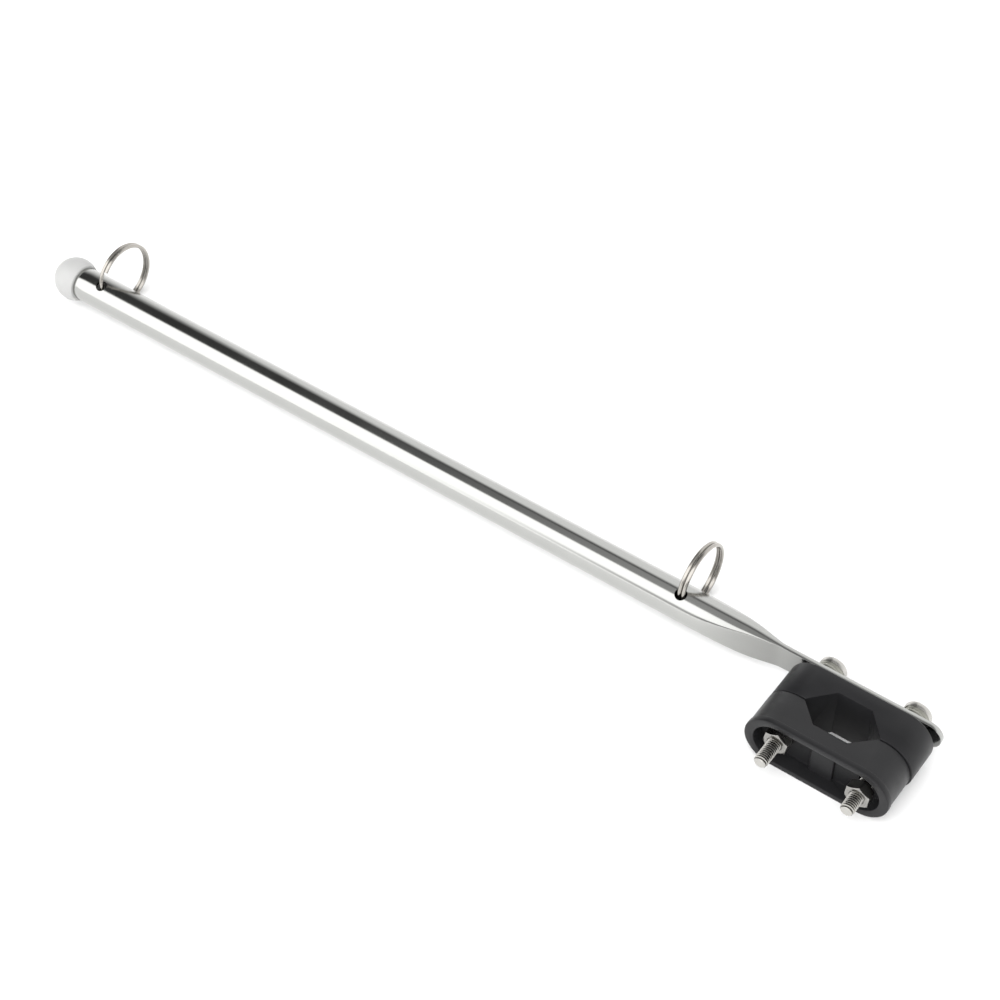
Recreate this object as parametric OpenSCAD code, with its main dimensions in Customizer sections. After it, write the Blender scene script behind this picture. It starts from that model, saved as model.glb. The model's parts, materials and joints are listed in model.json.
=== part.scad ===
// Rail-mount flag staff: a stainless tube with a ball cap and two split rings for
// the flag, swaged to a flat tang that is bolted to a two-piece rail clamp.
// Millimetres. The origin is the middle of the rail channel, on the parting plane
// of the clamp. +X runs from the ball to the tang, +Y from the nuts to the screw
// heads, and +Z along the channel, up from the side the clamp lies on.

/* [Staff] */
// Outside diameter of the staff tube
tube_d = 16; // [15:0.5:17]
// Wall thickness of the staff tube
tube_wall = 1.2; // [1:0.1:1.6]
// Distance from the clamp's middle to the open end of the tube
staff_reach = 424; // [415:1:600]
// Distance from the clamp's middle to where the tube starts to flatten
swage_start = 73.5; // [60:0.5:90]
// Width of the flat tang
tang_w = 12.6; // [11:0.2:14]
// Thickness of the flat tang
tang_t = 2.4; // [2:0.1:3]

/* [Ball cap] */
// Diameter of the ball
ball_d = 20.6; // [19:0.2:24]
// Length of the plug that holds the ball in the tube
plug_len = 10; // [6:1:11]

/* [Split rings] */
// Diameter of the spring wire
wire_d = 1.8; // [1.6:0.1:1.8]
// Diameter of the circle that the wire's centre follows
ring_d = 30.6; // [28:0.2:34]
// Diameter of the cross holes that the rings pass through
ring_hole_d = 5.4; // [5.4:0.1:5.8]
// Distance from the clamp's middle to the ring near the ball
upper_ring_reach = 409.5; // [200:0.5:412]
// Distance from the clamp's middle to the ring near the clamp
lower_ring_reach = 87; // [85:1:150]
// Direction of the cross holes, in degrees from +Y towards +Z
ring_hole_angle = 107; // [90:1:125]

/* [Clamp] */
// Width of the clamp along the rail
clamp_w = 26; // [24:0.5:30]
// Height of the fixed half, from the parting plane to its top face
fixed_h = 17.4; // [15:0.1:20]
// Height of the seat that carries the tang above the top face
seat_h = 3.8; // [2:0.1:5]
// Height of the loose half, from the parting plane to its rim
loose_h = 17.9; // [16:0.1:20]
// Distance between the two screws
screw_pitch = 38.4; // [38:0.2:40]
// Width of the channel across its corners, at the parting plane
channel_w = 33.3; // [32:0.1:34]
// Width of the channel's flat floor
channel_flat = 15.3; // [14:0.1:17]
// Depth of the channel in the fixed half
channel_depth_fixed = 10; // [9:0.1:11]
// Depth of the channel in the loose half
channel_depth_loose = 8.8; // [8:0.1:9.5]
// Depth of the nut pocket in the loose half
pocket_depth = 6.8; // [6:0.1:7]
// Height of the pad in the middle of the nut pocket
pad_h = 1.6; // [0.5:0.1:2]
// How far the loose half sits towards the ball, within the slack of its holes
loose_shift = 0.4; // [0:0.1:0.4]

/* [Fasteners] */
// Nominal diameter of the screws
screw_d = 6; // [6]
// Length of a screw under its head
screw_len = 55; // [52:1:60]
// Diameter of a pan head
head_d = 12; // [11.5:0.1:12.5]
// Height of a pan head
head_h = 4.6; // [3.6:0.1:4.8]
// Thickness of a flat washer and of a lock washer
washer_t = 1.6; // [1.4:0.1:1.8]
// Width of a nut across its flats
nut_af = 10; // [10]
// Height of a nut
nut_h = 5; // [4.8:0.1:5.2]
// Gap between the nut near the staff and the pocket floor
nut_1_gap = 1; // [0.1:0.1:2]
// Gap between the other nut and the pocket floor
nut_2_gap = 4.3; // [0.1:0.1:4.5]

/* [Hidden] */

$fn = 64;
eps = 0.01;

tube_r = tube_d / 2;
bore_r = tube_r - tube_wall;
tang_y0 = fixed_h + seat_h;
staff_y = tang_y0 + tang_t / 2;
tang_end_r = tang_w / 2;
tang_end_x = 26.8;
tang_start_x = -36;
ramp_end_x = -40.5;
ramp_slope = (tube_r - tang_t / 2) / (ramp_end_x + swage_start);
ramp_lead = 8;
narrow_start_x = -58;
narrow_steps = 10;

ball_r = ball_d / 2;
ball_lip = 0.9;
ball_x = -staff_reach - sqrt(pow(ball_r, 2) - pow(tube_r + ball_lip, 2));

wire_r = wire_d / 2;
ring_r = ring_d / 2;
wall_mid_r = tube_r - tube_wall / 2;
lower_ring_drop = sqrt(pow(ring_r, 2) - pow(wall_mid_r, 2));
upper_ring_drop = lower_ring_drop - 0.4;
lower_ring_lean = 0;
upper_ring_lean = -2;
turn_gap = wire_d + 0.06;
upper_ring_start = 123;
lower_ring_start = 154;
ring_sweep = 668;
ring_shift_start = 308;
ring_shift_end = 360;
ring_sides = 8;
ring_steps = 104;

screw_x = screw_pitch / 2;
screw_hole_d = screw_d + 0.8;
loose_hole_d = screw_d + 1.2;
parting_gap = 0.3;
rim_h = 2.7;
rim_step = 0.3;
pocket_r = 10.2;
pocket_half = 17.8;
pad_w = 10.4;
pocket_floor_y = -loose_h + pocket_depth;
nut_bore_d = screw_d + 0.1;
head_y = tang_y0 + tang_t + 2 * washer_t;
flat_washer_od = 12;
flat_washer_id = 6.4;
lock_washer_od = 11.8;
lock_washer_id = 6.4;
lock_washer_gap = 1;
lock_washer_cut_angle = 20;
recess_len = 6.4;
recess_w = 1.2;
recess_depth = 2.2;

function smooth(u) = let (v = min(max(u, 0), 1)) v * v * (3 - 2 * v);
function mix(a, b, u) = a + (b - a) * u;

// Half width of the staff where the swage narrows from the tube to the tang.
function swage_half_w(u) = mix(tube_r, tang_end_r, smooth(u));

// Faces of a tube of quads through a list of closed sections, with flat ends.
function loft_faces(count, sides) = concat(
    [[for (i = [0 : sides - 1]) i]],
    [for (k = [0 : count - 2], i = [0 : sides - 1])
        let (j = (i + 1) % sides)
            [k * sides + i, (k + 1) * sides + i, (k + 1) * sides + j, k * sides + j]],
    [[for (i = [sides - 1 : -1 : 0]) (count - 1) * sides + i]]
);

// A split ring lies in a plane across the staff. Its centre lies in the direction
// given by an angle from +Y towards +Z, square to the cross holes but for its lean.
function across(a) = [0, cos(a), sin(a)];
function ring_shift(s) =
    turn_gap / 2
    - turn_gap * smooth((s - ring_shift_start) / (ring_shift_end - ring_shift_start));
function ring_section(x, drop, lean, start, s) =
    let (u = ring_hole_angle - 90 + lean, out = across(u + start - s))
        [for (i = [0 : ring_sides - 1])
            let (b = 360 * i / ring_sides)
                [x + ring_shift(s) + wire_r * cos(b), staff_y, 0]
                + drop * across(u) + (ring_r + wire_r * sin(b)) * out];

// Turns a shape drawn in XY and raised along Z so that it rises along +Y instead.
module along_y(y) {
    translate([0, y, 0]) rotate([-90, 0, 0]) children();
}

module obround(half, r) {
    union() {
        square([2 * half, 2 * r], center = true);
        translate([-half, 0]) circle(r);
        translate([half, 0]) circle(r);
    }
}

module obround_block(y0, y1, half, r) {
    along_y(y0) linear_extrude(y1 - y0) obround(half, r);
}

module at_screws() {
    for (x = [-screw_x, screw_x]) translate([x, 0, 0]) children();
}

module screw_holes(y0, y1, d) {
    at_screws() along_y(y0) cylinder(d = d, h = y1 - y0);
}

// Half of the six-sided rail channel, with a side of 1 or -1 for its half.
module channel(side, depth) {
    translate([0, 0, -clamp_w])
        linear_extrude(2 * clamp_w)
            polygon([
                [-channel_w / 2 - 2, -side * 2],
                [-channel_w / 2, 0],
                [-channel_flat / 2, side * depth],
                [channel_flat / 2, side * depth],
                [channel_w / 2, 0],
                [channel_w / 2 + 2, -side * 2]
            ]);
}

module ring_hole(x) {
    translate([x, staff_y, 0])
        rotate([ring_hole_angle - 90, 0, 0])
            cylinder(d = ring_hole_d, h = 3 * tube_d, center = true);
}

// The whole staff as a round bar with a round end, before it is flattened.
module round_bar() {
    outline = concat(
        [[0, -staff_reach], [tube_r, -staff_reach]],
        [for (k = [0 : narrow_steps])
            [swage_half_w(k / narrow_steps),
             mix(narrow_start_x, tang_start_x, k / narrow_steps)]],
        [[tang_end_r, tang_end_x]]
    );
    translate([0, staff_y, 0])
        rotate([0, 90, 0])
            union() {
                rotate_extrude() polygon(concat(outline, [[0, tang_end_x]]));
                translate([0, 0, tang_end_x]) sphere(r = tang_end_r);
            }
}

// What the press leaves of the bar: full height along the tube, then two ramps
// down to the thickness of the tang.
module press_gap() {
    upper = [
        [-staff_reach - 1, tang_t / 2 + (ramp_end_x + swage_start + ramp_lead) * ramp_slope],
        [-swage_start - ramp_lead, tang_t / 2 + (ramp_end_x + swage_start + ramp_lead) * ramp_slope],
        [ramp_end_x, tang_t / 2],
        [tang_end_x + tang_w, tang_t / 2]
    ];
    lower = [for (i = [len(upper) - 1 : -1 : 0]) [upper[i][0], -upper[i][1]]];
    translate([0, staff_y, -tube_d])
        linear_extrude(2 * tube_d)
            polygon(concat(upper, lower));
}

module staff_bore() {
    translate([-staff_reach - 1, staff_y, 0])
        rotate([0, 90, 0])
            cylinder(r = bore_r, h = staff_reach - swage_start - tube_wall + 1);
}

module staff_tube() {
    color([0.80, 0.80, 0.78])
        difference() {
            intersection() {
                round_bar();
                press_gap();
            }
            staff_bore();
            ring_hole(-upper_ring_reach);
            ring_hole(-lower_ring_reach);
            screw_holes(tang_y0 - 1, tang_y0 + tang_t + 1, screw_hole_d);
        }
}

module ball_cap() {
    flat = -staff_reach - ball_x;
    color([0.88, 0.88, 0.86])
        translate([ball_x, staff_y, 0])
            rotate([0, 90, 0])
                rotate_extrude()
                    union() {
                        intersection() {
                            circle(ball_r);
                            translate([0, -ball_d]) square([ball_d, ball_d + flat]);
                        }
                        square([bore_r, flat + plug_len]);
                    }
}

module split_ring(x, drop, lean, start) {
    sections = [
        for (k = [0 : ring_steps])
            ring_section(x, drop, lean, start, ring_sweep * k / ring_steps)
    ];
    color([0.62, 0.61, 0.58])
        polyhedron(
            points = [for (section = sections, point = section) point],
            faces = loft_faces(len(sections), ring_sides)
        );
}

module split_ring_upper() {
    split_ring(-upper_ring_reach, upper_ring_drop, upper_ring_lean, upper_ring_start);
}

module split_ring_lower() {
    split_ring(-lower_ring_reach, lower_ring_drop, lower_ring_lean, lower_ring_start);
}

module clamp_fixed_half() {
    color([0.16, 0.16, 0.17])
        difference() {
            union() {
                obround_block(0, fixed_h, screw_x, clamp_w / 2);
                obround_block(fixed_h - eps, tang_y0, screw_x, tang_end_r);
            }
            channel(1, channel_depth_fixed);
            screw_holes(-1, tang_y0 + 1, screw_hole_d);
        }
}

// The nut pocket, with a pad left standing across its middle.
module nut_pocket() {
    difference() {
        obround_block(-loose_h - 1, pocket_floor_y, pocket_half, pocket_r);
        translate([-pad_w / 2, pocket_floor_y - pad_h, -clamp_w / 2])
            cube([pad_w, pad_h + 1, clamp_w]);
    }
}

module clamp_loose_half() {
    color([0.16, 0.16, 0.17])
        translate([-loose_shift, 0, 0])
            difference() {
                union() {
                    obround_block(-loose_h + rim_h - eps, -parting_gap, screw_x,
                                  clamp_w / 2 - rim_step);
                    obround_block(-loose_h, -loose_h + rim_h, screw_x, clamp_w / 2);
                }
                channel(-1, channel_depth_loose);
                nut_pocket();
                screw_holes(-loose_h, 1, loose_hole_d);
            }
}

module pan_head() {
    difference() {
        rotate_extrude()
            polygon([
                [0, 0], [head_d / 2, 0],
                [head_d / 2, head_h * 0.45],
                [head_d * 0.47, head_h * 0.68],
                [head_d * 0.40, head_h * 0.86],
                [head_d * 0.28, head_h * 0.96],
                [0, head_h]
            ]);
        for (a = [0, 90])
            rotate([0, 0, a])
                translate([-recess_len / 2, -recess_w / 2, head_h - recess_depth])
                    cube([recess_len, recess_w, head_h]);
    }
}

module screw(x) {
    tip_chamfer = 0.6;
    color([0.72, 0.71, 0.68])
        translate([x, 0, 0])
            union() {
                along_y(head_y) pan_head();
                along_y(head_y - screw_len)
                    rotate_extrude()
                        polygon([
                            [0, 0], [screw_d / 2 - tip_chamfer, 0],
                            [screw_d / 2, tip_chamfer],
                            [screw_d / 2, screw_len + eps], [0, screw_len + eps]
                        ]);
            }
}

module screw_1() {
    screw(-screw_x);
}

module screw_2() {
    screw(screw_x);
}

module flat_washer(x) {
    color([0.66, 0.65, 0.62])
        translate([x, 0, 0])
            along_y(head_y - 2 * washer_t)
                difference() {
                    cylinder(d = flat_washer_od, h = washer_t);
                    translate([0, 0, -1]) cylinder(d = flat_washer_id, h = washer_t + 2);
                }
}

module flat_washer_1() {
    flat_washer(-screw_x);
}

module flat_washer_2() {
    flat_washer(screw_x);
}

module lock_washer(x, turn) {
    color([0.60, 0.59, 0.56])
        translate([x, 0, 0])
            along_y(head_y - washer_t)
                rotate([0, 0, turn])
                    difference() {
                        cylinder(d = lock_washer_od, h = washer_t);
                        translate([0, 0, -1]) cylinder(d = lock_washer_id, h = washer_t + 2);
                        translate([lock_washer_od / 2, 0, washer_t / 2])
                            rotate([lock_washer_cut_angle, 0, 0])
                                cube([lock_washer_od, lock_washer_gap, 4 * washer_t], center = true);
                    }
}

module lock_washer_1() {
    lock_washer(-screw_x, 200);
}

module lock_washer_2() {
    lock_washer(screw_x, 310);
}

module nut(x, gap, turn) {
    color([0.72, 0.71, 0.68])
        translate([x, 0, 0])
            along_y(pocket_floor_y - gap - nut_h)
                difference() {
                    rotate([0, 0, turn]) cylinder(d = nut_af / cos(30), h = nut_h, $fn = 6);
                    translate([0, 0, -1]) cylinder(d = nut_bore_d, h = nut_h + 2);
                }
}

module nut_1() {
    nut(-screw_x, nut_1_gap, 8);
}

module nut_2() {
    nut(screw_x, nut_2_gap, 3);
}

staff_tube();
ball_cap();
split_ring_upper();
split_ring_lower();
clamp_fixed_half();
clamp_loose_half();
screw_1();
screw_2();
flat_washer_1();
flat_washer_2();
lock_washer_1();
lock_washer_2();
nut_1();
nut_2();
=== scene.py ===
"""Rail-mount flag staff: the visual model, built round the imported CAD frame.

Shapes are worked out in millimetres and scaled to metres as each mesh is made.
Every piece stands for one CAD node and rides on that node's body.
"""
import json
import math

import bmesh
import bpy
from mathutils import Matrix, Vector


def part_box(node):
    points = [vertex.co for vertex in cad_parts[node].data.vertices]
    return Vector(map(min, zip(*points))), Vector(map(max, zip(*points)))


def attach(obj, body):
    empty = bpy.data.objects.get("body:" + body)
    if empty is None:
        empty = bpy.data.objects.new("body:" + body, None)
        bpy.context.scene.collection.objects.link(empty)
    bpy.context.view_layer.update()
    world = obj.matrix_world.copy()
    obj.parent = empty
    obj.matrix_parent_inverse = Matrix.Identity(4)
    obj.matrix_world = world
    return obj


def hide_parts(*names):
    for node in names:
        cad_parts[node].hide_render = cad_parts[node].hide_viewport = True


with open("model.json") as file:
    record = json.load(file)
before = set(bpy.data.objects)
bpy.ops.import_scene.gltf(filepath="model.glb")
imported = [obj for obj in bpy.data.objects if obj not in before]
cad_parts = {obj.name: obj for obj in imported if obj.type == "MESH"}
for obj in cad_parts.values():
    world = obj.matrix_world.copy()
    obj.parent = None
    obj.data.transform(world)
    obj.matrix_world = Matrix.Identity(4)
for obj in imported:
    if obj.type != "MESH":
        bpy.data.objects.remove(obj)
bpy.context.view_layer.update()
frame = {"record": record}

MM = 0.001
TAU = 2 * math.pi


# ---------------------------------------------------------------- places from the frame

def node_box(node):
    """A node's lowest and highest corners, in millimetres."""
    low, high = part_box(node)
    return Vector(low) / MM, Vector(high) / MM


def node_centre(node):
    low, high = node_box(node)
    return (low + high) / 2


def joint_named(name):
    for joint in frame["record"]["behaviour"]["joints"]:
        if joint["name"] == name:
            return joint
    raise ValueError(name)


TUBE_LOW, TUBE_HIGH = node_box("staff_tube")
BALL_LOW, BALL_HIGH = node_box("ball_cap")
FIXED_LOW, FIXED_HIGH = node_box("clamp_fixed_half")
LOOSE_LOW, LOOSE_HIGH = node_box("clamp_loose_half")

TUBE_R = (TUBE_HIGH.z - TUBE_LOW.z) / 2
TUBE_WALL = 1.2
STAFF_Y = (TUBE_HIGH.y + TUBE_LOW.y) / 2
STAFF_END = TUBE_LOW.x
TANG_R = 6.3
TANG_HALF_T = 1.2
TANG_ARC_X = TUBE_HIGH.x - TANG_R
SWAGE_START = -73.5
SWAGE_END = -40.5
NARROW_START = -58.0
NARROW_END = -36.0
PRESS_BLEND_START = -86.0
PRESS_BLEND_LENGTH = 16.0
BORE_END = SWAGE_START - TUBE_WALL
# A half thickness that no press plane reaches, for sections that stay round.
UNPRESSED = 99 * TUBE_R
SCREW_X = {name: node_centre(name).x for name in ("screw_1", "screw_2")}
SCREW_R = 3.0
SCREW_HOLE_R = 3.4
LOOSE_HOLE_R = 3.6
RING_HOLE_R = 2.7


# ---------------------------------------------------------------- small mathematics

def smooth(u):
    v = min(max(u, 0.0), 1.0)
    return v * v * (3 - 2 * v)


def mix(a, b, u):
    return a + (b - a) * u


def soft_clip(value, limit):
    """Bends value over towards limit, with a rounded shoulder."""
    power = 9
    return value / (1 + abs(value / limit) ** power) ** (1 / power)


def steps(start, stop, count):
    return [mix(start, stop, k / count) for k in range(count + 1)]


def arc(cx, cy, r, start, stop, count):
    """Points along a circle's arc, between two angles in degrees."""
    angles = [math.radians(a) for a in steps(start, stop, count)]
    return [(cx + r * math.cos(a), cy + r * math.sin(a)) for a in angles]


# ---------------------------------------------------------------- mesh building

def new_object(name, points, faces):
    """Makes an object from points in millimetres, cleaned and facing outwards."""
    mesh = bpy.data.meshes.new(name)
    mesh.from_pydata([Vector(p) * MM for p in points], [], faces)
    bm = bmesh.new()
    bm.from_mesh(mesh)
    bmesh.ops.remove_doubles(bm, verts=bm.verts, dist=1e-7)
    bmesh.ops.dissolve_degenerate(bm, edges=bm.edges, dist=1e-7)
    bmesh.ops.recalc_face_normals(bm, faces=bm.faces)
    bm.to_mesh(mesh)
    bm.free()
    made = bpy.data.objects.new(name, mesh)
    bpy.context.scene.collection.objects.link(made)
    return made


def loft(name, rings, capped=True):
    """Skins a list of closed rings that hold equal numbers of points."""
    sides = len(rings[0])
    points = [p for ring in rings for p in ring]
    faces = []
    for k in range(len(rings) - 1):
        for i in range(sides):
            j = (i + 1) % sides
            low, high = k * sides, (k + 1) * sides
            faces.append((low + i, high + i, high + j, low + j))
    if capped:
        last = (len(rings) - 1) * sides
        faces.append(tuple(range(sides)))
        faces.append(tuple(last + i for i in range(sides - 1, -1, -1)))
    return new_object(name, points, faces)


def lathe_rings(profile, sides=96):
    """Rings round the Y axis for (radius, height) pairs, with the height along +Y."""
    rings = []
    for radius, height in profile:
        ring = []
        for i in range(sides):
            a = TAU * i / sides
            ring.append((radius * math.sin(a), height, radius * math.cos(a)))
        rings.append(ring)
    return rings


def shifted(rings, offset):
    dx, dy, dz = offset
    return [[(x + dx, y + dy, z + dz) for x, y, z in ring] for ring in rings]


def closed_lathe(name, profile, offset, sides=96):
    """A ring-shaped solid: its profile is a closed loop that never meets the axis."""
    rings = shifted(lathe_rings(profile, sides), offset)
    return loft(name, rings + rings[:1], capped=False)


def carve(target, cutter, operation="DIFFERENCE"):
    """Applies a boolean with another object, which is then deleted."""
    modifier = target.modifiers.new("carve", "BOOLEAN")
    modifier.operation = operation
    modifier.object = cutter
    modifier.solver = "EXACT"
    apply_modifiers(target)
    bpy.data.objects.remove(cutter, do_unlink=True)


def apply_modifiers(target):
    bpy.context.view_layer.update()
    graph = bpy.context.evaluated_depsgraph_get()
    mesh = bpy.data.meshes.new_from_object(target.evaluated_get(graph))
    target.modifiers.clear()
    old = target.data
    target.data = mesh
    bpy.data.meshes.remove(old)


def bevel(target, width, angle=40, segments=2):
    modifier = target.modifiers.new("bevel", "BEVEL")
    modifier.width = width * MM
    modifier.segments = segments
    modifier.limit_method = "ANGLE"
    modifier.angle_limit = math.radians(angle)
    modifier.use_clamp_overlap = True
    apply_modifiers(target)


def rod(start, direction, length, radius, sides=64):
    """A plain cutter cylinder."""
    turn = Vector(direction).to_track_quat("Y", "Z")
    rings = lathe_rings([(radius, 0), (radius, length)], sides)
    placed = [[Vector(start) + turn @ Vector(p) for p in ring] for ring in rings]
    return loft("cutter", placed)


def prism(outline, z0, z1):
    """A cutter from an outline in XY, raised along Z."""
    return loft("cutter", [[(x, y, z0) for x, y in outline], [(x, y, z1) for x, y in outline]])


def block(low, high):
    x0, y0, z0 = low
    x1, y1, z1 = high
    return prism([(x0, y0), (x1, y0), (x1, y1), (x0, y1)], z0, z1)


def finish_piece(piece, node, material, body, sharp=35):
    """Shades a piece, gives it its material and puts it in place of its node."""
    piece.name = node + "_visual"
    piece.data.materials.clear()
    piece.data.materials.append(material)
    piece.data.polygons.foreach_set("use_smooth", [True] * len(piece.data.polygons))
    piece.data.set_sharp_from_angle(angle=math.radians(sharp))
    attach(piece, body)
    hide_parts(node)
    return piece


# ---------------------------------------------------------------- materials

class Nodes:
    """Short names for building a node tree."""

    def __init__(self, tree):
        self.tree = tree
        tree.nodes.clear()

    def add(self, kind, inputs=None, **settings):
        node = self.tree.nodes.new(kind)
        for key, value in settings.items():
            setattr(node, key, value)
        for key, value in (inputs or {}).items():
            self.put(node.inputs[key], value)
        return node

    def put(self, socket, value):
        if isinstance(value, bpy.types.NodeSocket):
            self.tree.links.new(value, socket)
        else:
            socket.default_value = value

    def math(self, operation, a, b=0.0, clamp=False):
        node = self.add("ShaderNodeMath", {0: a, 1: b}, operation=operation, use_clamp=clamp)
        return node.outputs[0]

    def ramp(self, value, low, high, out_low=0.0, out_high=1.0):
        """Smooth step from one value to another."""
        node = self.add("ShaderNodeMapRange", interpolation_type="SMOOTHSTEP")
        for key, number in (("Value", value), ("From Min", low), ("From Max", high),
                            ("To Min", out_low), ("To Max", out_high)):
            self.put(node.inputs[key], number)
        return node.outputs["Result"]

    def noise(self, scale, detail, stretch=(1, 1, 1)):
        place = self.add("ShaderNodeTexCoord").outputs["Object"]
        mapped = self.add("ShaderNodeMapping", {"Vector": place, "Scale": stretch})
        node = self.add("ShaderNodeTexNoise", {"Vector": mapped.outputs["Vector"], "Scale": scale,
                                               "Detail": detail, "Roughness": 0.5})
        return node.outputs["Fac"]

    def two_colours(self, factor, first, second):
        node = self.add("ShaderNodeMix", data_type="RGBA")
        self.put(node.inputs[0], factor)
        self.put(node.inputs[6], (*first, 1))
        self.put(node.inputs[7], (*second, 1))
        return node.outputs[2]

    def bump(self, height, strength, distance):
        node = self.add("ShaderNodeBump", {"Height": height, "Strength": strength,
                                           "Distance": distance})
        return node.outputs["Normal"]


def new_material(name):
    material = bpy.data.materials.new(name)
    material.use_nodes = True
    return material, Nodes(material.node_tree)


def surface(nodes, inputs):
    shader = nodes.add("ShaderNodeBsdfPrincipled", inputs)
    nodes.add("ShaderNodeOutputMaterial", {"Surface": shader.outputs[0]})


def polished_steel():
    """Mirror-polished tube: faint drawing lines, soft haze, and painted shade on the -Y side of the
    pressed end.
    """
    material, nodes = new_material("polished_steel")
    place = nodes.add("ShaderNodeTexCoord").outputs["Object"]
    parts = nodes.add("ShaderNodeSeparateXYZ", {0: place}).outputs
    # Painted shade: along the pressed end, the -Y side of the tube is darkened, standing in for the
    # shadowed floor it reflects.
    pressed = nodes.ramp(parts[0], (SWAGE_START - 6) * MM, (SWAGE_END - 4) * MM, 0, 0.38)
    painted_shade_side = nodes.ramp(parts[1], (STAFF_Y - 2) * MM, (STAFF_Y + 0.5) * MM, 1, 0)
    lines = nodes.noise(900, 2, (0.02, 1, 1))
    haze = nodes.noise(45, 3)
    bright = nodes.two_colours(haze, (0.405, 0.407, 0.394), (0.445, 0.447, 0.434))
    mixed = nodes.add("ShaderNodeMix", data_type="RGBA")
    nodes.put(mixed.inputs[0], nodes.math("MULTIPLY", pressed, painted_shade_side))
    nodes.put(mixed.inputs[6], bright)
    # Colour of the painted shade on the pressed end.
    nodes.put(mixed.inputs[7], (0.16, 0.16, 0.153, 1))
    surface(nodes, {
        "Base Color": mixed.outputs[2],
        "Metallic": 1.0,
        "Roughness": nodes.ramp(haze, 0.3, 0.7, 0.13, 0.17),
        "Normal": nodes.bump(lines, 0.05, 0.00005),
    })
    return material


def machined_steel(name, dark, light, rough_low, rough_high):
    """Stainless fastener or wire steel: fine grain with slightly duller patches."""
    material, nodes = new_material(name)
    fine = nodes.noise(1400, 3)
    patches = nodes.noise(180, 4)
    surface(nodes, {
        "Base Color": nodes.two_colours(patches, dark, light),
        "Metallic": 1.0,
        "Roughness": nodes.ramp(patches, 0.3, 0.7, rough_low, rough_high),
        "Normal": nodes.bump(fine, 0.12, 0.00004),
    })
    return material


def screw_steel():
    """Fastener steel with painted shade darkening the thread's grooves and the cross recess."""
    material, nodes = new_material("screw_steel")
    place = nodes.add("ShaderNodeTexCoord").outputs["Object"]
    parts = nodes.add("ShaderNodeSeparateXYZ", {0: place}).outputs
    from_middle = nodes.math("ABSOLUTE", parts[0])
    across = nodes.math("SUBTRACT", from_middle, SCREW_X["screw_2"] * MM)
    squares = nodes.math("ADD", nodes.math("POWER", across, 2), nodes.math("POWER", parts[2], 2))
    radius = nodes.math("SQRT", squares)
    # Painted shade: everything within the thread's root radius of the axis is darkened, which
    # covers the thread's grooves, the cross recess and the middle of the crown. The shank ramp
    # leaves the tip's end face bright.
    groove_painted_shade = nodes.ramp(radius, ROOT_R * MM, (SCREW_R - 0.1) * MM, 1, 0)
    shank = nodes.ramp(parts[1], -0.0281, -0.0278)
    fine = nodes.noise(1400, 3)
    patches = nodes.noise(180, 4)
    clean = nodes.two_colours(patches, (0.45, 0.44, 0.415), (0.53, 0.52, 0.495))
    mixed = nodes.add("ShaderNodeMix", data_type="RGBA")
    nodes.put(mixed.inputs[0], nodes.math("MULTIPLY", groove_painted_shade, shank))
    nodes.put(mixed.inputs[6], clean)
    # Colour of the painted shade in the grooves and the recess.
    nodes.put(mixed.inputs[7], (0.10, 0.097, 0.088, 1))
    surface(nodes, {
        "Base Color": mixed.outputs[2],
        "Metallic": 1.0,
        "Roughness": nodes.ramp(patches, 0.3, 0.7, 0.24, 0.34),
        "Normal": nodes.bump(fine, 0.12, 0.00004),
    })
    return material


def black_nylon():
    """Moulded black plastic with a fine matte texture and faint flow marks."""
    material, nodes = new_material("black_nylon")
    grain = nodes.noise(2600, 2)
    flow = nodes.noise(60, 4, (1, 2.5, 1))
    surface(nodes, {
        "Base Color": nodes.two_colours(flow, (0.0090, 0.0090, 0.0098), (0.0128, 0.0128, 0.0138)),
        "Roughness": nodes.ramp(flow, 0.3, 0.7, 0.34, 0.46),
        "Specular IOR Level": 0.24,
        "Normal": nodes.bump(grain, 0.18, 0.00006),
    })
    return material


def white_nylon():
    """Milky white plastic with a soft sheen."""
    material, nodes = new_material("white_nylon")
    cloud = nodes.noise(70, 3)
    grain = nodes.noise(1500, 2)
    surface(nodes, {
        "Base Color": nodes.two_colours(cloud, (0.385, 0.385, 0.38), (0.42, 0.42, 0.415)),
        "Roughness": nodes.ramp(cloud, 0.3, 0.7, 0.40, 0.50),
        "Subsurface Weight": 0.25,
        "Subsurface Radius": (0.004, 0.004, 0.0036),
        "Subsurface Scale": 1.0,
        "Specular IOR Level": 0.4,
        "Normal": nodes.bump(grain, 0.06, 0.00005),
    })
    return material


def floor_paper():
    material, nodes = new_material("floor_paper")
    fibres = nodes.noise(300, 4)
    surface(nodes, {
        "Base Color": nodes.two_colours(fibres, (0.86, 0.86, 0.86), (0.88, 0.88, 0.88)),
        "Roughness": 0.9,
        "Specular IOR Level": 0.0,
    })
    return material


# ---------------------------------------------------------------- staff

def swage_ring(x, half_w, half_t, side_points=22, face_points=26):
    """One section of the staff: a circle pressed flat between two planes."""
    pressed = smooth((x - PRESS_BLEND_START) / PRESS_BLEND_LENGTH)
    edge = math.asin(min(0.96, half_t / half_w))
    angles = steps(-edge, edge, side_points)[:-1]
    angles += steps(edge, math.pi - edge, face_points)[:-1]
    angles += steps(math.pi - edge, math.pi + edge, side_points)[:-1]
    angles += steps(math.pi + edge, TAU - edge, face_points)[:-1]
    ring = []
    for a in angles:
        across = half_w * math.sin(a)
        flat = soft_clip(across, half_t)
        ring.append((x, STAFF_Y + mix(across, flat, pressed), half_w * math.cos(a)))
    return ring


def swage_sizes(x):
    half_w = mix(TUBE_R, TANG_R, smooth((x - NARROW_START) / (NARROW_END - NARROW_START)))
    press = min(1.0, (x - SWAGE_START) / (SWAGE_END - SWAGE_START))
    half_t = max(TANG_HALF_T, mix(TUBE_R, TANG_HALF_T, press))
    return half_w, half_t


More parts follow.
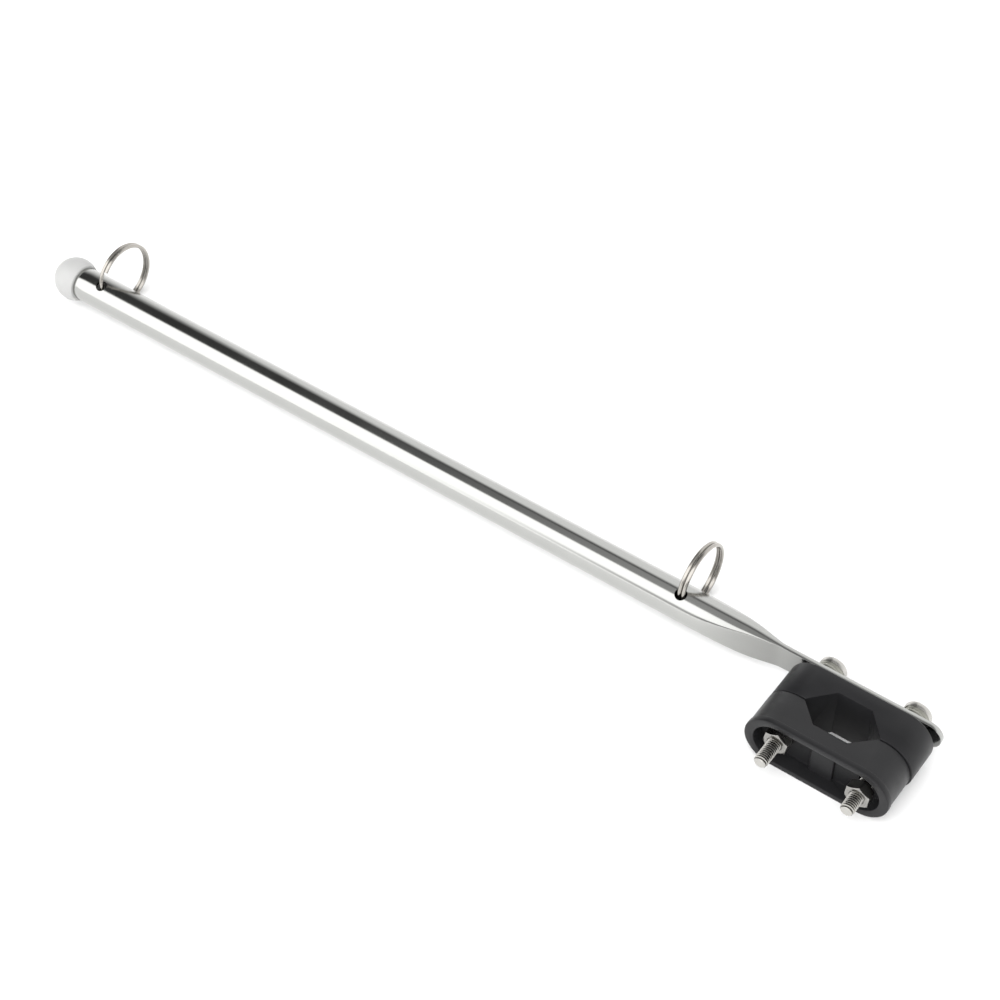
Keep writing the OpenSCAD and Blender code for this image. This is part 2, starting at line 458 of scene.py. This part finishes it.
def build_staff(material):
    holes = [joint_named(n)["pos_m"][0] / MM for n in ("upper_ring_swing", "lower_ring_swing")]
    xs = {STAFF_END + 0.3, SWAGE_START}
    xs.update(steps(STAFF_END + 6, -90, 24))
    for hole in holes:
        xs.update(hole + k for k in range(-4, 5))
    xs.update(steps(-88, NARROW_END, 52))
    xs.update(steps(-33, TANG_ARC_X, 20))
    rings = []
    inner_r = TUBE_R - TUBE_WALL
    for x in (BORE_END, -90, -200, -300, holes[0] + 6, holes[0] - 6, STAFF_END + 0.2):
        rings.append(swage_ring(x, inner_r, UNPRESSED))
    rings.append(swage_ring(STAFF_END, inner_r + 0.2, UNPRESSED))
    rings.append(swage_ring(STAFF_END, TUBE_R - 0.3, UNPRESSED))
    rings.append(swage_ring(STAFF_END + 0.09, TUBE_R - 0.09, UNPRESSED))
    for x in sorted(xs):
        half_w, half_t = swage_sizes(x)
        rings.append(swage_ring(x, half_w, half_t if x > PRESS_BLEND_START else UNPRESSED))
    for a in steps(0, 88, 16)[1:]:
        tip_w = TANG_R * math.cos(math.radians(a))
        tip_x = TANG_ARC_X + TANG_R * math.sin(math.radians(a))
        flat = swage_ring(tip_x, TANG_R, TANG_HALF_T)
        rings.append([(tip_x, y, z * tip_w / TANG_R) for _, y, z in flat])
    staff = loft("staff", rings)
    axis = Vector(joint_named("upper_ring_swing")["axis"])
    for hole in holes:
        middle = Vector((hole, STAFF_Y, 0))
        carve(staff, rod(middle - axis * 2 * TUBE_R, axis, 4 * TUBE_R, RING_HOLE_R))
    for x in SCREW_X.values():
        carve(staff, rod((x, STAFF_Y - 4, 0), (0, 1, 0), 8, SCREW_HOLE_R, sides=61))
    return finish_piece(staff, "staff_tube", material, "staff", sharp=38)


def build_ball(material):
    """The ball is turned on the staff's axis, with a small lip where the tube butts on it."""
    radius = (BALL_HIGH.z - BALL_LOW.z) / 2
    centre_x = BALL_LOW.x + radius
    flat = STAFF_END - centre_x
    lip = math.degrees(math.acos(flat / radius))
    profile = [(radius * math.sin(math.radians(a)), radius * math.cos(math.radians(a)))
               for a in steps(179, lip + 1, 60)]
    face_r = math.sqrt(radius ** 2 - flat ** 2)
    profile += [(face_r - 0.15, flat - 0.05), (face_r - 0.4, flat)]
    plug_r = TUBE_R - TUBE_WALL
    plug_end = BALL_HIGH.x - centre_x
    profile += [(plug_r, flat), (plug_r, plug_end - 0.8), (plug_r - 0.8, plug_end)]
    rings = []
    for ring in lathe_rings(profile, 96):
        rings.append([(centre_x + y, STAFF_Y + x, z) for x, y, z in ring])
    ball = loft("ball", rings)
    return finish_piece(ball, "ball_cap", material, "staff", sharp=30)


# ---------------------------------------------------------------- split rings

RING_R = 15.3
WIRE_R = 0.88
TURN_GAP = 1.86
RING_SWEEP = 668
CROSSOVER = (308, 360)


def build_ring(node, body, joint, start, drop_cut, lean, material):
    """A coil of nearly two turns whose wire crosses over between them."""
    hole = joint_named(joint)
    hinge_x = hole["pos_m"][0] / MM
    hinge_angle = math.degrees(math.atan2(hole["axis"][2], hole["axis"][1]))
    centre_angle = math.radians(hinge_angle - 90 + lean)
    wall_r = TUBE_R - TUBE_WALL / 2
    drop = math.sqrt(RING_R ** 2 - wall_r ** 2) - drop_cut
    middle = Vector((hinge_x, STAFF_Y, 0))
    middle += drop * Vector((0, math.cos(centre_angle), math.sin(centre_angle)))
    count = 300
    rings = []
    for k in range(-2, count + 3):
        turned = RING_SWEEP * min(max(k, 0), count) / count
        a = centre_angle + math.radians(start - turned)
        out = Vector((0, math.cos(a), math.sin(a)))
        over = smooth((turned - CROSSOVER[0]) / (CROSSOVER[1] - CROSSOVER[0]))
        at = middle + Vector((TURN_GAP / 2 - TURN_GAP * over, 0, 0)) + RING_R * out
        wire = WIRE_R * {-2: 0.55, -1: 0.9, count + 1: 0.9, count + 2: 0.55}.get(k, 1.0)
        ring = []
        for i in range(16):
            b = TAU * i / 16
            ring.append(at + Vector((wire * math.cos(b), 0, 0)) + wire * math.sin(b) * out)
        rings.append(ring)
    coil = loft(node, rings)
    return finish_piece(coil, node, material, body, sharp=50)


# ---------------------------------------------------------------- clamp

CLAMP_R = (FIXED_HIGH.z - FIXED_LOW.z) / 2
END_X = (FIXED_HIGH.x - FIXED_LOW.x) / 2 - CLAMP_R
SEAT_Y = FIXED_HIGH.y
SEAT_H = 3.8
TOP_Y = SEAT_Y - SEAT_H
PARTING_Y = LOOSE_HIGH.y
RIM_Y = LOOSE_LOW.y
RIM_STEP = 0.3
RIM_BAND = 2.7
LOOSE_X = (LOOSE_HIGH.x + LOOSE_LOW.x) / 2
POCKET_HALF = 17.8
POCKET_R = 10.2
POCKET_Y = RIM_Y + 6.8
PAD_HALF = 5.2
PAD_H = 1.6
CHANNEL_HALF = 16.65
CHANNEL_FLAT = 7.65
CHANNEL_FIXED = 10.0
CHANNEL_LOOSE = 8.8


def obround_ring(y, half, radius, x0=0.0, count=28):
    """A ring of two half circles joined by straight sides, in the plane of one height."""
    right = arc(half, 0, radius, -90, 90, count)
    left = arc(-half, 0, radius, 90, 270, count)
    return [(x0 + x, y, z) for x, z in right + left]


def channel_cutter(side, depth, x0=0.0):
    reach = 3.0
    outline = [
        (-CHANNEL_HALF - reach, -side * reach),
        (-CHANNEL_HALF, 0),
        (-CHANNEL_FLAT, side * depth),
        (CHANNEL_FLAT, side * depth),
        (CHANNEL_HALF, 0),
        (CHANNEL_HALF + reach, -side * reach),
    ]
    return prism([(x0 + x, y) for x, y in outline], -2 * CLAMP_R, 2 * CLAMP_R)


def build_fixed_half(material):
    """The body rises from the parting face, steps in at its top and ends in the tang's seat."""
    sections = [
        (0, CLAMP_R - 0.3), (0.1, CLAMP_R - 0.1), (0.3, CLAMP_R),
        (TOP_Y - 0.9, CLAMP_R), (TOP_Y - 0.45, CLAMP_R - 0.12),
        (TOP_Y - 0.12, CLAMP_R - 0.45), (TOP_Y, CLAMP_R - 0.9),
        (TOP_Y, TANG_R + 0.3), (TOP_Y + 0.3, TANG_R), (SEAT_Y, TANG_R),
    ]
    half = loft("fixed", [obround_ring(y, END_X, r) for y, r in sections])
    carve(half, channel_cutter(1, CHANNEL_FIXED))
    bevel(half, 0.16, angle=48, segments=2)
    for x in SCREW_X.values():
        carve(half, rod((x, -1, 0), (0, 1, 0), SEAT_Y + 2, SCREW_HOLE_R))
    return finish_piece(half, "clamp_fixed_half", material, "staff", sharp=30)


def build_loose_half(material):
    """The body drops from the parting face to a rim, then goes back up into the nut pocket."""
    inner_r = CLAMP_R - RIM_STEP
    sections = [
        (PARTING_Y, END_X, inner_r - 0.3), (PARTING_Y - 0.1, END_X, inner_r - 0.1),
        (PARTING_Y - 0.3, END_X, inner_r), (RIM_Y + RIM_BAND + 0.25, END_X, inner_r),
        (RIM_Y + RIM_BAND + 0.05, END_X, inner_r + 0.08),
        (RIM_Y + RIM_BAND - 0.05, END_X, CLAMP_R - 0.08),
        (RIM_Y + RIM_BAND - 0.25, END_X, CLAMP_R), (RIM_Y + 0.5, END_X, CLAMP_R),
        (RIM_Y + 0.2, END_X, CLAMP_R - 0.1), (RIM_Y + 0.05, END_X, CLAMP_R - 0.3),
        (RIM_Y, END_X, CLAMP_R - 0.55),
        (RIM_Y, POCKET_HALF, POCKET_R + 0.35), (RIM_Y + 0.1, POCKET_HALF, POCKET_R + 0.1),
        (RIM_Y + 0.35, POCKET_HALF, POCKET_R), (POCKET_Y - 0.6, POCKET_HALF, POCKET_R),
        (POCKET_Y - 0.15, POCKET_HALF, POCKET_R - 0.2), (POCKET_Y, POCKET_HALF, POCKET_R - 0.6),
    ]
    half = loft("loose", [obround_ring(y, h, r, LOOSE_X) for y, h, r in sections])
    pad = block((LOOSE_X - PAD_HALF, POCKET_Y - PAD_H, -POCKET_R - 1),
                (LOOSE_X + PAD_HALF, POCKET_Y + 1, POCKET_R + 1))
    bevel(pad, 0.6, angle=30, segments=3)
    carve(half, pad, "UNION")
    carve(half, channel_cutter(-1, CHANNEL_LOOSE, LOOSE_X))
    bevel(half, 0.16, angle=48, segments=2)
    for x in SCREW_X.values():
        carve(half, rod((LOOSE_X + x, RIM_Y - 1, 0), (0, 1, 0), 2 - RIM_Y, LOOSE_HOLE_R))
    return finish_piece(half, "clamp_loose_half", material, "jaw", sharp=30)


# ---------------------------------------------------------------- fasteners

PITCH = 1.0
ROOT_R = 2.4
THREAD_ROWS = ((0.0, SCREW_R), (0.125, SCREW_R), (0.4375, ROOT_R), (0.6875, ROOT_R))
HEAD_R = 6.0
HEAD_H = 4.6
THREAD_SIDES = 48
# Depth, half length and half width of the cross recess from above the crown to its bottom.
RECESS_STEPS = ((-1.0, 3.6, 0.75), (0.3, 3.1, 0.6), (2.2, 1.7, 0.45), (2.6, 0.6, 0.3))


def thread_mesh_parts(low, high):
    """Points and faces of a helical thread that ends in a plain ring at either height."""
    tip_r = ROOT_R - 0.1
    turns = math.ceil((high - low) / PITCH) + 2
    rows = []
    for turn in range(-1, turns):
        for share, radius in THREAD_ROWS:
            row = []
            for i in range(THREAD_SIDES + 1):
                a = TAU * i / THREAD_SIDES
                height = low + PITCH * (turn + share + i / THREAD_SIDES)
                r = min(radius, tip_r + max(height - low, 0))
                if height > high - PITCH:
                    r = mix(r, SCREW_R, smooth((height - high + PITCH) / PITCH))
                height = min(max(height, low), high)
                row.append((r * math.sin(a), height, r * math.cos(a)))
            rows.append(row)
    sides = THREAD_SIDES + 1
    points = [p for row in rows for p in row]
    faces = []
    for k in range(len(rows) - 1):
        for i in range(THREAD_SIDES):
            at = k * sides + i
            faces.append((at, at + 1, at + sides + 1, at + sides))
    return points, faces


def head_profile():
    """Pan head from its underside to the middle of its crown."""
    crown_r = 10.5
    crown_edge = 5.0
    crown_y = HEAD_H - crown_r
    start = math.degrees(math.acos(crown_edge / crown_r))
    profile = [(SCREW_R, 0), (HEAD_R - 0.35, 0), (HEAD_R - 0.1, 0.1), (HEAD_R, 0.35)]
    profile += [(HEAD_R, 2.1), (HEAD_R - 0.12, 2.55), (HEAD_R - 0.45, 2.95)]
    profile += arc(0, crown_y, crown_r, start, 89.5, 14)
    return profile


def build_screw(node, turn, material):
    low, high = node_box(node)
    x = (low.x + high.x) / 2
    under_head = high.y - HEAD_H
    points, faces = thread_mesh_parts(low.y, under_head)
    sides = THREAD_SIDES
    start = len(points)
    for radius, height in head_profile():
        for i in range(sides):
            a = TAU * i / sides
            points.append((radius * math.sin(a), under_head + height, radius * math.cos(a)))
    count = len(head_profile())
    for k in range(count - 1):
        for i in range(sides):
            j = (i + 1) % sides
            first = start + k * sides
            faces.append((first + i, first + j, first + sides + j, first + sides + i))
    faces.append(tuple(start + (count - 1) * sides + i for i in range(sides)))
    tip_r = ROOT_R - 0.1
    tip = len(points)
    for i in range(sides):
        a = TAU * i / sides
        points.append((tip_r * math.sin(a), low.y, tip_r * math.cos(a)))
    faces.append(tuple(range(tip + sides - 1, tip - 1, -1)))
    screw = new_object(node, [(p[0] + x, p[1], p[2]) for p in points], faces)
    for quarter in (0, 90):
        carve(screw, recess_arm(x, high.y, turn + quarter))
    return finish_piece(screw, node, material, "staff", sharp=40)


def recess_arm(x, top, angle):
    """One arm of a cross recess, narrower and shorter at its bottom."""
    turn = Matrix.Rotation(math.radians(angle), 3, "Y")
    rings = []
    for depth, half_l, half_w in RECESS_STEPS:
        corners = [(-half_l, -half_w), (half_l, -half_w), (half_l, half_w), (-half_l, half_w)]
        rings.append([Vector((x, top - depth, 0)) + turn @ Vector((u, 0, v)) for u, v in corners])
    return loft("cutter", rings)


def build_nut(node, turn, body, material):
    """Hexagon nut, chamfered on both faces, with a countersunk bore."""
    low, high = node_box(node)
    x, z = (low.x + high.x) / 2, (low.z + high.z) / 2
    flat_r = 5.0
    face_r = 4.75
    bore_r = SCREW_R + 0.05
    sink_r = bore_r + 0.4
    sides = 96
    slope = math.tan(math.radians(30))

    def hexagon(i):
        a = math.degrees(TAU * i / sides) % 60 - 30
        return flat_r / math.cos(math.radians(a))

    def ring(radius_of, height_of):
        made = []
        for i in range(sides):
            a = TAU * i / sides + math.radians(turn)
            r = radius_of(i)
            made.append((x + r * math.sin(a), height_of(i), z + r * math.cos(a)))
        return made

    def drop(i):
        return max(0.0, hexagon(i) - face_r) * slope

    rings = [
        ring(lambda i: bore_r, lambda i: low.y + 0.4),
        ring(lambda i: sink_r, lambda i: low.y),
        ring(lambda i: face_r, lambda i: low.y),
        ring(hexagon, lambda i: low.y + drop(i)),
        ring(hexagon, lambda i: high.y - drop(i)),
        ring(lambda i: face_r, lambda i: high.y),
        ring(lambda i: sink_r, lambda i: high.y),
        ring(lambda i: bore_r, lambda i: high.y - 0.4),
    ]
    nut = loft(node, rings + rings[:1], capped=False)
    return finish_piece(nut, node, material, body, sharp=25)


def build_flat_washer(node, material):
    low, high = node_box(node)
    outer = (high.x - low.x) / 2
    inner = 3.2
    thick = high.y - low.y
    edge = 0.15
    profile = [
        (inner, edge), (inner + edge, 0), (outer - edge, 0), (outer, edge),
        (outer, thick - edge), (outer - edge, thick), (inner + edge, thick), (inner, thick - edge),
    ]
    centre = ((low.x + high.x) / 2, low.y, 0)
    washer = closed_lathe(node, profile, centre)
    return finish_piece(washer, node, material, "staff", sharp=50)


def build_lock_washer(node, turn, material):
    """A ring cut through at a slant, its two ends a little apart."""
    low, high = node_box(node)
    middle = Vector(((low.x + high.x) / 2, (low.y + high.y) / 2, 0))
    outer, inner = 5.9, 3.2
    half_t = (high.y - low.y) / 2
    edge = 0.14
    section = [
        (inner + edge, -half_t), (outer - edge, -half_t), (outer, edge - half_t),
        (outer, half_t - edge), (outer - edge, half_t), (inner + edge, half_t),
        (inner, half_t - edge), (inner, edge - half_t),
    ]
    gap = 8.0
    slant = 5.0
    count = 90
    rings = []
    for k in range(count + 1):
        ring = []
        for radius, height in section:
            a = turn + gap + (360 - 2 * gap) * k / count + slant * height / half_t
            a = math.radians(a)
            ring.append(middle + Vector((radius * math.sin(a), height, radius * math.cos(a))))
        rings.append(ring)
    washer = loft(node, rings)
    return finish_piece(washer, node, material, "staff", sharp=40)


# ---------------------------------------------------------------- stage, light and camera

def build_floor():
    size = 12.0
    z = FIXED_LOW.z * MM
    mesh = bpy.data.meshes.new("floor")
    mesh.from_pydata([(-size, -size, z), (size, -size, z), (size, size, z), (-size, size, z)],
                     [], [(0, 1, 2, 3)])
    floor = bpy.data.objects.new("floor", mesh)
    floor.data.materials.append(floor_paper())
    bpy.context.scene.collection.objects.link(floor)


def build_world():
    """A pale studio with a dark ceiling strip along the staff, so polished steel has contrast."""
    world = bpy.data.worlds.new("studio")
    world.use_nodes = True
    nodes = Nodes(world.node_tree)
    direction = nodes.add("ShaderNodeTexCoord").outputs["Generated"]
    parts = nodes.add("ShaderNodeSeparateXYZ", {0: direction}).outputs
    along, out, up = parts[0], parts[1], parts[2]
    # Angle round the staff: 0 behind it, 90 overhead, 180 in front.
    around = nodes.math("MULTIPLY", nodes.math("ARCTAN2", up, out), 180 / math.pi)

    back_wall = nodes.ramp(around, 92, 112, 1.35, 2.45)
    strip_start = nodes.ramp(along, -0.58, -0.40, 2, 48)
    rise = nodes.ramp(around, strip_start, 62.0)
    fall = nodes.ramp(around, 104, 113, 1, 0)
    strip = nodes.math("MULTIPLY", rise, fall)
    strip_level = nodes.ramp(along, -0.50, -0.27, 0.06, 0.62)
    seam = nodes.math("MULTIPLY", nodes.ramp(around, 58, 65), nodes.ramp(around, 66, 76, 1, 0))
    seam = nodes.math("MULTIPLY", seam, nodes.ramp(along, -0.46, -0.36))
    front = nodes.math("MULTIPLY", nodes.ramp(around, 154, 166), nodes.ramp(around, 170, 180, 1, 0))
    front = nodes.math("MULTIPLY", front, nodes.ramp(along, -0.44, -0.28))

    level = nodes.math("MULTIPLY", back_wall, nodes.math("SUBTRACT", 1.0, strip))
    level = nodes.math("ADD", level, nodes.math("MULTIPLY", strip_level, strip))
    for dark, share in ((seam, 0.72), (front, 0.88)):
        keep = nodes.math("SUBTRACT", 1.0, nodes.math("MULTIPLY", dark, share))
        level = nodes.math("MULTIPLY", level, keep)
    colour = nodes.add("ShaderNodeCombineXYZ", {0: level, 1: level, 2: level}).outputs[0]
    background = nodes.add("ShaderNodeBackground", {"Color": colour, "Strength": 1.0})
    nodes.add("ShaderNodeOutputWorld", {"Surface": background.outputs[0]})
    bpy.context.scene.world = world


def add_area_light(name, place, target, size, power):
    """A soft light that polished steel doesn't mirror."""
    data = bpy.data.lights.new(name, "AREA")
    data.shape = "SQUARE"
    data.size = size
    data.energy = power
    lamp = bpy.data.objects.new(name, data)
    lamp.location = place
    lamp.rotation_mode = "QUATERNION"
    lamp.rotation_quaternion = (Vector(target) - Vector(place)).to_track_quat("-Z", "Y")
    lamp.visible_glossy = False
    bpy.context.scene.collection.objects.link(lamp)


def build_lights():
    add_area_light("overhead", (-0.15, -0.05, 1.3), (-0.15, 0, 0), 1.6, 11.0)
    add_area_light("front_fill", (0.5, -1.2, 0.7), (-0.1, 0, 0), 0.9, 4.0)


CAMERA_PLACE = Vector((0.1959, -0.4832, 0.6975))
CAMERA_LOOK = Vector((-0.4012, 0.5392, -0.7405))
CAMERA_RIGHT = Vector((0.8085, 0.5885, -0.0095))
CAMERA_LENS = 78.8


def build_camera():
    look = CAMERA_LOOK.normalized()
    right = (CAMERA_RIGHT - CAMERA_RIGHT.dot(look) * look).normalized()
    up = right.cross(look)
    data = bpy.data.cameras.new("camera")
    data.lens = CAMERA_LENS
    data.sensor_width = 36
    data.clip_start = 0.01
    data.clip_end = 60
    camera = bpy.data.objects.new("camera", data)
    turn = Matrix((right, up, -look)).transposed().to_4x4()
    camera.matrix_world = Matrix.Translation(CAMERA_PLACE) @ turn
    bpy.context.scene.collection.objects.link(camera)
    bpy.context.scene.camera = camera


def build_object():
    steel = polished_steel()
    wire = machined_steel("wire_steel", (0.34, 0.325, 0.30), (0.44, 0.42, 0.39),
                          0.20, 0.28)
    washer = machined_steel("washer_steel", (0.26, 0.26, 0.23), (0.34, 0.335, 0.30),
                            0.28, 0.40)
    nut_steel = machined_steel("nut_steel", (0.28, 0.275, 0.262), (0.35, 0.343, 0.325),
                               0.24, 0.34)
    threaded = screw_steel()
    nylon = black_nylon()
    build_staff(steel)
    build_ball(white_nylon())
    build_ring("split_ring_upper", "upper_ring", "upper_ring_swing", 123, 0.4, -2.0, wire)
    build_ring("split_ring_lower", "lower_ring", "lower_ring_swing", 154, 0.0, 0.0, wire)
    build_fixed_half(nylon)
    build_loose_half(nylon)
    for number, turn in ((1, 25), (2, 70)):
        build_screw(f"screw_{number}", turn, threaded)
    build_nut("nut_1", 8, "nut_1_body", nut_steel)
    build_nut("nut_2", 3, "nut_2_body", nut_steel)
    for number, turn in ((1, 200), (2, 310)):
        build_flat_washer(f"flat_washer_{number}", washer)
        build_lock_washer(f"lock_washer_{number}", turn, washer)


build_camera()
build_world()
build_lights()
build_floor()
build_object()
bpy.context.scene.view_settings.view_transform = "Standard"
